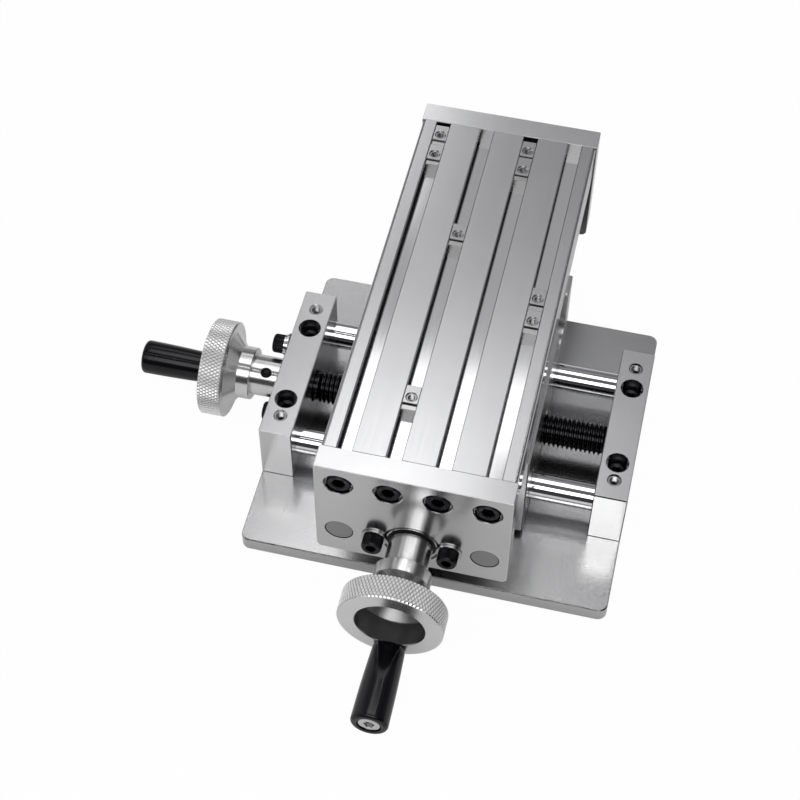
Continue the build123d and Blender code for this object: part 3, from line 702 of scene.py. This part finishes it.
def cut_set_screw_hole(wheel, face, angle_degrees):
    """Tapped hole through the collar, countersunk a little."""
    foot = 4.0
    radius, mouth_radius = 2.35, 2.9
    surface = collar_radius - foot
    profile = [(radius, 0.0), (radius, surface - 0.35), (mouth_radius, surface + 0.2), (mouth_radius, 8.0)]
    hole = Shape()
    hole.turned(profile, 48, caps=(True, True))
    cut(wheel, hole, collar_frame(face, angle_degrees, foot))


handwheel("x_handwheel_turned", "x_screw", x_face, x_flare_length, x_set_screw_angle, "x_handwheel")
handwheel("y_handwheel_turned", "y_screw", y_face, y_flare_length, y_set_screw_angle, "y_handwheel")


# Threads

def helix(shape, low, high, turns, pitch, profile, segments, limit=None, inward=False, matrix=None):
    """Right-hand thread surface between two heights, facing outward or, in a hole, inward.

    The profile is (share of the pitch, radius) pairs; limit gives the largest radius at a height.
    """
    rows = [(low + (turn - 1 + share) * pitch, radius) for turn in range(turns) for share, radius in profile]
    points = []
    for i in range(segments + 1):
        angle = 2 * math.pi * i / segments
        for height, radius in rows:
            z = min(max(height + pitch * i / segments, low), high)
            r = min(radius, limit(z)) if limit else radius
            points.append((r * math.cos(angle), r * math.sin(angle), z))
    count = len(rows)
    faces = []
    for i in range(segments):
        for j in range(count - 1):
            p, q = i * count + j, (i + 1) * count + j
            faces.append((p, p + 1, q + 1, q) if inward else (p, q, q + 1, p + 1))
    shape.add(points, faces, 0, matrix)


def lead_screw(name, body, face, node, far_shoulder, thread_start):
    """Threaded shaft between its journals, the thread chamfered at both ends."""
    major, minor, pitch = 7.0, 5.8, 2.0
    root, journal, tip, seat, neck = 5.7, 5.0, 4.6, 6.0, 6.3
    far_end = far_shoulder + 10.3
    near_end = 18.0
    neck_end = 6.2
    low, high = -far_shoulder, -thread_start

    def chamfered(z):
        return minor - 0.1 + min(z - low, high - z)

    shape = Shape()
    far_side = [(tip, -far_end), (journal, -far_end + 0.4), (journal, low), (root, low)]
    shape.turned(far_side, 72, caps=(True, False))
    profile = ((0.0, major), (0.13, major), (0.44, minor), (0.69, minor))
    helix(shape, low, high, int((high - low) / pitch) + 4, pitch, profile, 72, chamfered)
    near_side = [
        (root, high), (neck, high), (neck, -neck_end), (seat, -neck_end), (seat, -bearing_recess),
        (journal, -bearing_recess), (journal, near_end - 0.4), (tip, near_end),
    ]
    shape.turned(near_side, 72, caps=(False, True))
    piece(name, shape, [black_thread], body, face, (node,), sharp=25.0)


lead_screw("x_lead_screw_cut", "x_screw", x_face, "x_lead_screw", far_shoulder=145.7, thread_start=16.5)
lead_screw("y_lead_screw_cut", "y_screw", y_face, "y_lead_screw", far_shoulder=194.7, thread_start=12.5)


# Screws

cap_screw_sizes = {
    "M5": {"head": 8.5, "height": 5.0, "key": 4.0, "shank": 5.0},
    "M6": {"head": 10.0, "height": 6.0, "key": 5.0, "shank": 6.0},
}
block_screw_length = 25.0
x_retainer_screw_length = 6.2
y_retainer_screw_length = 5.0
plate_screw_length = 20.0
end_screw_length = 12.0


def cap_screw(shape, size, length, matrix):
    """Cap screw whose head has fine straight knurling, a rounded edge and a hexagon socket."""
    teeth = 48
    segments = teeth * 4
    radius, height, key, shank = size["head"] / 2, size["height"], size["key"], size["shank"] / 2
    underside_radius = radius - 0.45
    side = straight_knurl(radius, 0.16, teeth)
    socket_floor = height * 0.42
    loops = [
        loop_at(underside_radius, 0.0, segments),
        loop_at(side, 0.3, segments),
        loop_at(side, height - 0.75, segments),
        loop_at(radius - 0.18, height - 0.55, segments),
        loop_at(radius - 0.35, height - 0.15, segments),
        loop_at(radius - 0.55, height, segments),
        loop_at(key / 2 * 1.22, height, segments),
        loop_at(hexagon(key), height - 0.28, segments),
        loop_at(hexagon(key), socket_floor, segments),
        loop_at(key * 0.2, socket_floor - 0.5, segments),
    ]
    shape.rings(loops, matrix=matrix)
    shape.cap(loops[-1], True, matrix)
    below = [(underside_radius, 0.0), (shank, 0.0), (shank, -length + 0.6), (shank - 0.6, -length)]
    shape.turned(below, 48, matrix=matrix, caps=(False, True))


def cap_screws(name, body, places, size, length, node):
    """One piece with several equal cap screws, the undersides of their heads on the places."""
    shape = Shape()
    for matrix in places:
        cap_screw(shape, cap_screw_sizes[size], length, matrix)
    piece(name, shape, [black_steel], body, None, (node,), sharp=32.0)


def retainer_places(face, angle_degrees, height):
    """Frames on both sides of the bearing, at a height over the face."""
    angle = math.radians(angle_degrees)
    across, up = retainer_radius * math.cos(angle), retainer_radius * math.sin(angle)
    return [shifted(face, way * across, way * up, height) for way in (-1, 1)]


block_screw_places = [
    up_at(x, y, block_top - block_counterbore_depth)
    for x in (-block_middle_x, block_middle_x)
    for y in (block_screw_front_y, block_screw_rear_y)
]
cap_screws("end_block_cap_screws", "base", block_screw_places, "M5", block_screw_length, "end_block_screws")
x_retainer_tops = retainer_places(x_face, x_retainer_angle, washer_thickness + spring_washer_thickness)
y_retainer_tops = retainer_places(y_face, y_retainer_angle, washer_thickness)
cap_screws("x_retainer_cap_screws", "base", x_retainer_tops, "M5", x_retainer_screw_length, "x_retainer_screws")
cap_screws("y_retainer_cap_screws", "table", y_retainer_tops, "M5", y_retainer_screw_length, "y_retainer_screws")
front_seat = place((saddle_x, table_front + plate_counterbore_depth, plate_screw_height), (1, 0, 0), (0, -1, 0))
rear_seat = place((saddle_x, table_rear - plate_counterbore_depth, plate_screw_height), (-1, 0, 0), (0, 1, 0))
for end, seat in (("front", front_seat), ("rear", rear_seat)):
    seats = [shifted(seat, x) for x in slot_offsets]
    cap_screws(f"{end}_plate_cap_screws", "table", seats, "M6", plate_screw_length, f"{end}_plate_screws")
saddle_seat = place((saddle_x, saddle_rear - end_screw_recess, end_screw_height), (-1, 0, 0), (0, 1, 0))
saddle_seats = [
    shifted(saddle_seat, across * end_screw_spacing_x / 2, up * end_screw_spacing_z / 2)
    for across in (-1, 1)
    for up in (-1, 1)
]
cap_screws("saddle_end_cap_screws", "saddle", saddle_seats, "M5", end_screw_length, "saddle_end_screws")


def grub_screws(name, body, places, node, diameter, length):
    """Headless screws with a hexagon socket and a chamfered top edge, standing on the places."""
    key = 2.5
    shape = Shape()
    r = diameter / 2
    for matrix in places:
        loops = [
            loop_at(r - 0.5, 0.0, 96),
            loop_at(r, 0.5, 96),
            loop_at(r, length - 0.5, 96),
            loop_at(r - 0.5, length, 96),
            loop_at(key / 2 * 1.2, length, 96),
            loop_at(hexagon(key), length - 0.15, 96),
            loop_at(hexagon(key), length * 0.55, 96),
            loop_at(key * 0.2, length * 0.5, 96),
        ]
        shape.capped_rings(loops, matrix)
    piece(name, shape, [black_steel], body, None, (node,), sharp=30.0)


lock_screw = {"diameter": 4.9, "length": 5.0}
set_screw = {"diameter": 4.6, "length": 3.6}
set_screw_foot = 5.0
lock_corners = [(x, y) for x in (-block_middle_x, block_middle_x) for y in (-rod_half_pitch, rod_half_pitch)]
lock_places = [up_at(x, y, x_axis_height + rod_radius) for x, y in lock_corners]
grub_screws("rod_lock_grub_screws", "base", lock_places, "rod_lock_screws", **lock_screw)
nut_lock_places = [
    up_at(saddle_right - x_nut_lock_inset, 0, x_axis_height + nut_radius),
    up_at(saddle_x, saddle_front + y_nut_lock_inset, y_axis_height + nut_radius),
]
grub_screws("nut_lock_grub_screws", "saddle", nut_lock_places, "nut_lock_screws", **lock_screw)
for axis, face, angle in (("x", x_face, x_set_screw_angle), ("y", y_face, y_set_screw_angle)):
    foot = collar_frame(face, angle, set_screw_foot)
    grub_screws(f"{axis}_wheel_grub_screw", f"{axis}_screw", [foot], f"{axis}_wheel_set_screw", **set_screw)


def inner_thread(name, body, places, hole, crest, pitch, depth, countersink):
    """Thread crests that line a tapped hole, its mouth at the places and its depth below."""
    profile = ((0.0, hole), (0.1, hole), (0.42, crest), (0.62, crest))
    shape = Shape()
    for matrix in places:
        helix(shape, -depth, -countersink, int(depth / pitch) + 3, pitch, profile, 40, inward=True, matrix=matrix)
    piece(name, shape, [painted_shade_for_holes_and_washers], body, None, (), sharp=25.0)


block_thread_places = [up_at(x, y, block_top) for x, y in lock_corners]
inner_thread(
    "block_top_threads", "base", block_thread_places,
    hole=2.53, crest=2.1, pitch=0.8, depth=4.4, countersink=0.55,
)


# Washers, bearings

def washers(name, body, places, node, split, look):
    """Flat washers, with a split spring washer on top where asked."""
    hole, edge, thick = 2.7, 5.4, washer_thickness
    flat = [
        (hole, 0.1), (hole + 0.1, 0.0), (edge - 0.2, 0.0), (edge, 0.2), (edge, thick - 0.2), (edge - 0.2, thick),
        (hole + 0.1, thick), (hole, thick - 0.1),
    ]
    section = [(2.75, thick + 0.02), (4.6, thick + 0.02), (4.6, thick + 1.05), (2.75, thick + 1.05)]
    steps = 60
    gap_end, sweep, total_rise = -84.0, 348.0, 0.12
    shape = Shape()
    for matrix in places:
        shape.turned(flat, 72, closed=True, matrix=matrix)
        if split:
            loops = []
            for i in range(steps + 1):
                angle = math.radians(gap_end + sweep * i / steps)
                rise = total_rise * i / steps
                loops.append([(r * math.cos(angle), r * math.sin(angle), z + rise) for r, z in section])
            shape.capped_rings(loops, matrix)
    piece(name, shape, [look], body, None, (node,))


x_washer_places = retainer_places(x_face, x_retainer_angle, 0.0)
washers("x_washers", "base", x_washer_places, "x_retainer_washers", True, nickel)
y_washer_places = retainer_places(y_face, y_retainer_angle, 0.0)
washers("y_washers", "table", y_washer_places, "y_retainer_washers", False, painted_shade_for_holes_and_washers)


def bearing(axis, fixed_body, turning_body, face):
    """Deep groove ball bearing with rubber seals: outer ring, ribbed seals and inner ring."""
    top = -bearing_recess
    bottom = top - bearing_width
    outer = Shape()
    profile = [
        (12.0, top - 0.35), (11.9, top - 0.1), (11.65, top), (10.35, top), (10.2, top - 0.15), (10.2, bottom + 0.15),
        (10.35, bottom), (11.65, bottom), (11.9, bottom + 0.1), (12.0, bottom + 0.35),
    ]
    outer.turned(profile, 120, closed=True)
    bead = [(10.22, top - 0.1), (10.32, top + 0.06), (10.72, top + 0.06), (10.82, top - 0.1)]
    outer.turned(bead, 120, closed=True, finish=1)
    outer_node = f"{axis}_bearing_outer_ring"
    piece(f"{axis}_outer_ring", outer, [bearing_ring_painted_shade, steel], fixed_body, face, (outer_node,))
    inner = Shape()
    profile = [
        (7.9, top - 0.15), (7.75, top), (6.2, top), (6.03, top - 0.2), (6.03, bottom + 0.2), (6.2, bottom),
        (7.75, bottom), (7.9, bottom + 0.15),
    ]
    inner.turned(profile, 120, closed=True)
    inner_node = f"{axis}_bearing_inner_ring"
    piece(f"{axis}_inner_ring", inner, [steel], turning_body, face, (inner_node,))
    seal = Shape()
    for level, way in ((top - 0.25, 1), (bottom + 0.25, -1)):
        ribs = [
            (10.17, 0.1), (9.9, 0.0), (9.6, 0.12), (9.35, 0.18), (8.75, 0.18), (8.55, 0.0), (8.3, 0.0), (8.22, 0.2),
            (8.22, 0.75), (10.17, 0.75),
        ]
        seal.turned([(radius, level - way * depth) for radius, depth in ribs], 96, closed=True)
    piece(f"{axis}_seals", seal, [rubber], fixed_body, face, (f"{axis}_bearing_seals",))


bearing("x", "base", "x_screw", x_face)
bearing("y", "table", "y_screw", y_face)


# Handles

handle_start = 0.7
handle_length = 34.6
handle_offset = 17.4
x_handle_angle = -121.0
y_handle_angle = -90.0
handle_bore = 3.05
handle_root_radius = 6.7
handle_end_radius = 7.7
handle_end_fillet = 1.6
handle_recess_depth = 5.6
handle_recess_radius = 4.9
handle_swell = 0.2


def grip(foot, name, body, node):
    """Black tapered handle with a rounded tip and a recess for the bolt's head."""
    tip = handle_start + handle_length
    shoulder = tip - handle_end_fillet
    recess_floor = tip - handle_recess_depth
    start = handle_start + 0.4
    profile = [
        (handle_bore, handle_start), (handle_root_radius - 0.4, handle_start),
        (handle_root_radius - 0.15, handle_start + 0.1), (handle_root_radius, start),
    ]
    steps = 16
    for i in range(1, steps):
        t = i / steps
        radius = handle_root_radius + t * (handle_end_radius - handle_root_radius)
        profile.append((radius + handle_swell * math.sin(math.pi * t), start + t * (shoulder - start)))
    for i in range(9):
        a = math.pi / 2 * i / 8
        radius = handle_end_radius - handle_end_fillet * (1 - math.cos(a))
        profile.append((radius, shoulder + handle_end_fillet * math.sin(a)))
    profile += [
        (handle_recess_radius + 0.3, tip), (handle_recess_radius + 0.05, tip - 0.1),
        (handle_recess_radius, tip - 0.4), (handle_recess_radius, recess_floor), (handle_bore, recess_floor),
    ]
    shape = Shape()
    shape.turned(profile, 128, closed=True)
    piece(name, shape, [gloss_black], body, foot, (node,), sharp=40.0)
    return recess_floor


def shoulder_bolt(foot, name, body, node, recess_floor):
    """Bolt that the handle turns on: thread end, collar, shank and socket head."""
    thread_end, collar, shank, head, key = 2.5, 4.2, 3.0, 4.5, 4.0
    head_start = recess_floor + 0.3
    head_end = head_start + 4.9
    loops = [
        loop_at(thread_end, -7.5, 96),
        loop_at(thread_end, 0.0, 96),
        loop_at(collar - 0.15, 0.0, 96),
        loop_at(collar, 0.1, 96),
        loop_at(collar, 0.4, 96),
        loop_at(shank, 0.4, 96),
        loop_at(shank, head_start, 96),
        loop_at(head, head_start, 96),
        loop_at(head, head_end - 0.3, 96),
        loop_at(head - 0.1, head_end - 0.08, 96),
        loop_at(head - 0.3, head_end, 96),
        loop_at(2.45, head_end, 96),
        loop_at(hexagon(key), head_end - 0.2, 96),
        loop_at(hexagon(key), head_end - 2.3, 96),
        loop_at(0.7, head_end - 2.8, 96),
    ]
    bolt = Shape()
    bolt.capped_rings(loops)
    piece(name, bolt, [steel], body, foot, (node,))


def handle(axis, face, flare_length, angle_degrees):
    """A handle and its bolt on the front of a rim."""
    angle = math.radians(angle_degrees)
    rim_front = hub_end + flare_length + rim_width
    foot = shifted(face, handle_offset * math.cos(angle), handle_offset * math.sin(angle), rim_front)
    recess_floor = grip(foot, f"{axis}_grip", f"{axis}_handle", f"{axis}_handle")
    bolt_name = f"{axis}_handle_shoulder_bolt"
    shoulder_bolt(foot, bolt_name, f"{axis}_screw", f"{axis}_handle_bolt", recess_floor)


handle("x", x_face, x_flare_length, x_handle_angle)
handle("y", y_face, y_flare_length, y_handle_angle)


# Slot nuts: slot and distance from the front of the extrusion

slot_nut_places = [(0, 165.0), (0, 177.2), (1, 31.2), (1, 120.8), (2, 164.6), (2, 176.4), (3, 80.9), (3, 93.2)]
slot_nut_height = 5.5


def slot_nut(shape, matrix):
    """Roll-in slot nut: body under the lips, neck between them and a step at its front end."""
    half_length = 5.8
    shoulder, body, step, top = 2.0, 4.0, 4.45, slot_nut_height
    foot, wide, neck = 3.5, 5.2, 2.95
    right = [(foot, 0.0), (wide, shoulder), (wide, body), (neck, body), (neck, None)]
    section = right + [(-x, z) for x, z in reversed(right)]
    stations = [
        (-half_length, step - 0.25), (-half_length + 0.3, step), (-3.6, step), (-3.1, top - 0.12), (-2.95, top),
        (half_length - 0.25, top), (half_length, top - 0.25),
    ]
    loops = [[(x, y, level if z is None else z) for x, z in section] for y, level in stations]
    shape.rings(loops, matrix=matrix)
    shape.cap(loops[0], True, matrix)
    shape.cap(loops[-1], False, matrix)


nut_matrices = [
    up_at(saddle_x + slot_offsets[slot], profile_front + along, table_top - slot_depth)
    for slot, along in slot_nut_places
]
nuts = Shape()
holes = Shape()
for matrix in nut_matrices:
    slot_nut(nuts, matrix)
    holes.turned([(2.0, -1.0), (2.0, 5.0), (2.55, 5.55), (2.55, 7.0)], 48, matrix=matrix, caps=(True, True))
slot_nuts = piece("slot_nuts_machined", nuts, [slot_nut_painted_shade], "table", None, ("slot_nuts",), sharp=30.0)
cut(slot_nuts, holes)
slot_nuts.data.set_sharp_from_angle(angle=math.radians(30.0))
nut_mouths = [shifted(matrix, 0, 0, slot_nut_height) for matrix in nut_matrices]
inner_thread(
    "slot_nut_threads", "table", nut_mouths,
    hole=1.98, crest=1.6, pitch=0.7, depth=4.6, countersink=0.5,
)


# Floor

def floor_look():
    """Pale paper that the camera and, more weakly, reflections see as a plain background."""
    camera_share, mirrored_share = 0.98, 0.25
    material, n, shader = new_material("floor_look")
    n.tree.nodes.remove(shader)
    output = n.tree.nodes["Material Output"]
    diffuse = n.node("ShaderNodeBsdfDiffuse")
    n.link(n.ramp(n.noise(30.0, 3.0), [(0.3, grey(0.78)), (0.7, grey(0.80))]), diffuse, "Color")
    glow = n.node("ShaderNodeEmission", in_Color=(1, 1, 1, 1), in_Strength=1.0)
    path = n.node("ShaderNodeLightPath")
    mirrored = n.math("MAXIMUM", (path, "Is Glossy Ray"), (path, "Is Transmission Ray"))
    weaker = n.math("MULTIPLY", mirrored, mirrored_share)
    direct = n.math("MULTIPLY", (path, "Is Camera Ray"), camera_share)
    mix = n.node("ShaderNodeMixShader")
    n.link(n.math("MAXIMUM", weaker, direct), mix, "Fac")
    n.link((diffuse, "BSDF"), mix, 1)
    n.link((glow, "Emission"), mix, 2)
    n.link((mix, "Shader"), output, "Surface")
    return material


floor_half = 4000
floor_gap = 0.1
floor_shape = Shape()
floor_corners = [(x * floor_half, y * floor_half, 0) for x, y in ((-1, -1), (1, -1), (1, 1), (-1, 1))]
floor_shape.add(floor_corners, [(0, 1, 2, 3)])
floor_mesh = floor_shape.mesh("floor")
floor_mesh.materials.append(floor_look())
floor = new_object("floor", floor_mesh)
floor.location.z = cad_low.z - floor_gap * MM


# World: a dim room, brighter behind the object and to its left

def grey_stops(*pairs):
    return [(position, grey(value)) for position, value in pairs]


world = bpy.data.worlds.new("studio")
bpy.context.scene.world = world
world.use_nodes = True
world.node_tree.nodes.clear()
room = Nodes(world.node_tree)
room_x, room_y, room_z = room.parts("Generated")
behind_levels = ((0.0, 0.36), (0.30, 0.26), (0.50, 0.14), (0.66, 0.30), (0.84, 0.45), (0.90, 0.15), (1.0, 0.15))
behind = room.ramp(room_z, [(height, grey(value, 0.03 * value)) for height, value in behind_levels])
before = room.ramp(room_z, grey_stops((0.0, 0.05), (0.55, 0.05), (0.62, 0.15), (1.0, 0.15)))
rearward = room.remap(room_y, (-0.15, 0.25), interpolation_type="SMOOTHSTEP")
walls = room.mix(rearward, before, behind)
rightward = room.remap(room_x, (-1.0, 1.0))
sideways = room.ramp(rightward, grey_stops((0.25, 1.0), (0.47, 1.0), (0.53, 0.75), (0.75, 0.70)))
shaded = room.mix(None, walls, sideways, blend_type="MULTIPLY", in_Fac=1.0)
left_wall = room.ramp(rightward, grey_stops((0.0, 0.50), (0.12, 0.40), (0.22, 0.0)))
lit = room.mix(None, shaded, left_wall, blend_type="ADD", in_Fac=1.0)
studio = room.node("ShaderNodeBackground", in_Strength=1.0)
room.link(lit, studio, "Color")
backdrop = room.node("ShaderNodeBackground", in_Color=(1, 1, 1, 1), in_Strength=1.0)
light_path = room.node("ShaderNodeLightPath")
chosen = room.node("ShaderNodeMixShader")
room.link((light_path, "Is Camera Ray"), chosen, "Fac")
room.link((studio, "Background"), chosen, 1)
room.link((backdrop, "Background"), chosen, 2)
world_out = room.node("ShaderNodeOutputWorld")
room.link((chosen, "Shader"), world_out, "Surface")


# Lamps: name, centre and size in metres, radiance, and the tilt from facing down to facing the rear in degrees

front_tilt = 42.0
lamps = [
    ("overhead_softbox", (0.05, 0.27, 1.32), (1.1, 0.54), 2.3, 0.0),
    ("rear_left_softbox", (-0.23, 0.68, 1.32), (0.28, 0.22), 1.9, 0.0),
    ("rear_softbox", (-0.14, 0.86, 1.32), (0.44, 0.12), 1.2, 0.0),
    ("far_left_softbox", (-0.46, 1.40, 1.32), (0.36, 0.50), 1.3, 0.0),
    ("front_softbox_right", (0.26, -0.96, 1.05), (0.72, 0.62), 3.4, front_tilt),
    ("front_softbox_left", (-0.30, -0.96, 1.05), (0.40, 0.62), 2.6, front_tilt),
    ("front_wing_right", (0.83, -0.96, 1.05), (0.42, 0.62), 1.0, front_tilt),
    ("front_wing_left", (-0.80, -0.96, 1.05), (0.60, 0.62), 1.0, front_tilt),
    ("handle_strip_left", (-0.37, -0.345, 1.30), (0.5, 0.03), 6.0, 0.0),
    ("handle_strip_right", (0.525, 0.68, 1.23), (0.03, 0.52), 8.0, 0.0),
]
for name, centre, size, radiance, tilt in lamps:
    lamp = bpy.data.lights.new(name, "AREA")
    lamp.shape = "RECTANGLE"
    lamp.size, lamp.size_y = size
    lamp.energy = radiance * math.pi * size[0] * size[1]
    placed = new_object(name, lamp)
    placed.location = centre
    placed.rotation_euler = (math.radians(tilt), 0.0, 0.0)


# Camera of the photograph

photo_width = 800.0
focal_pixels = 1786.3
roll = math.radians(0.65)
camera_place = Vector((75.83, -459.90, 662.74))
forward = Vector((-0.12922, 0.57919, -0.80489)).normalized()

camera_data = bpy.data.cameras.new("camera")
camera = new_object("camera", camera_data)
camera_data.sensor_width = 36.0
camera_data.lens = focal_pixels * camera_data.sensor_width / photo_width
level = forward.cross(Vector((0, 0, 1))).normalized()
upright = level.cross(forward)
camera_right = level * math.cos(roll) + upright * math.sin(roll)
camera_up = upright * math.cos(roll) - level * math.sin(roll)
orientation = Matrix((camera_right, camera_up, -forward)).transposed().to_4x4()
orientation.translation = camera_place * MM
camera.matrix_world = orientation
camera_data.clip_start = 0.01
camera_data.clip_end = 20.0
bpy.context.scene.camera = camera

bpy.context.scene.view_settings.view_transform = "Standard"
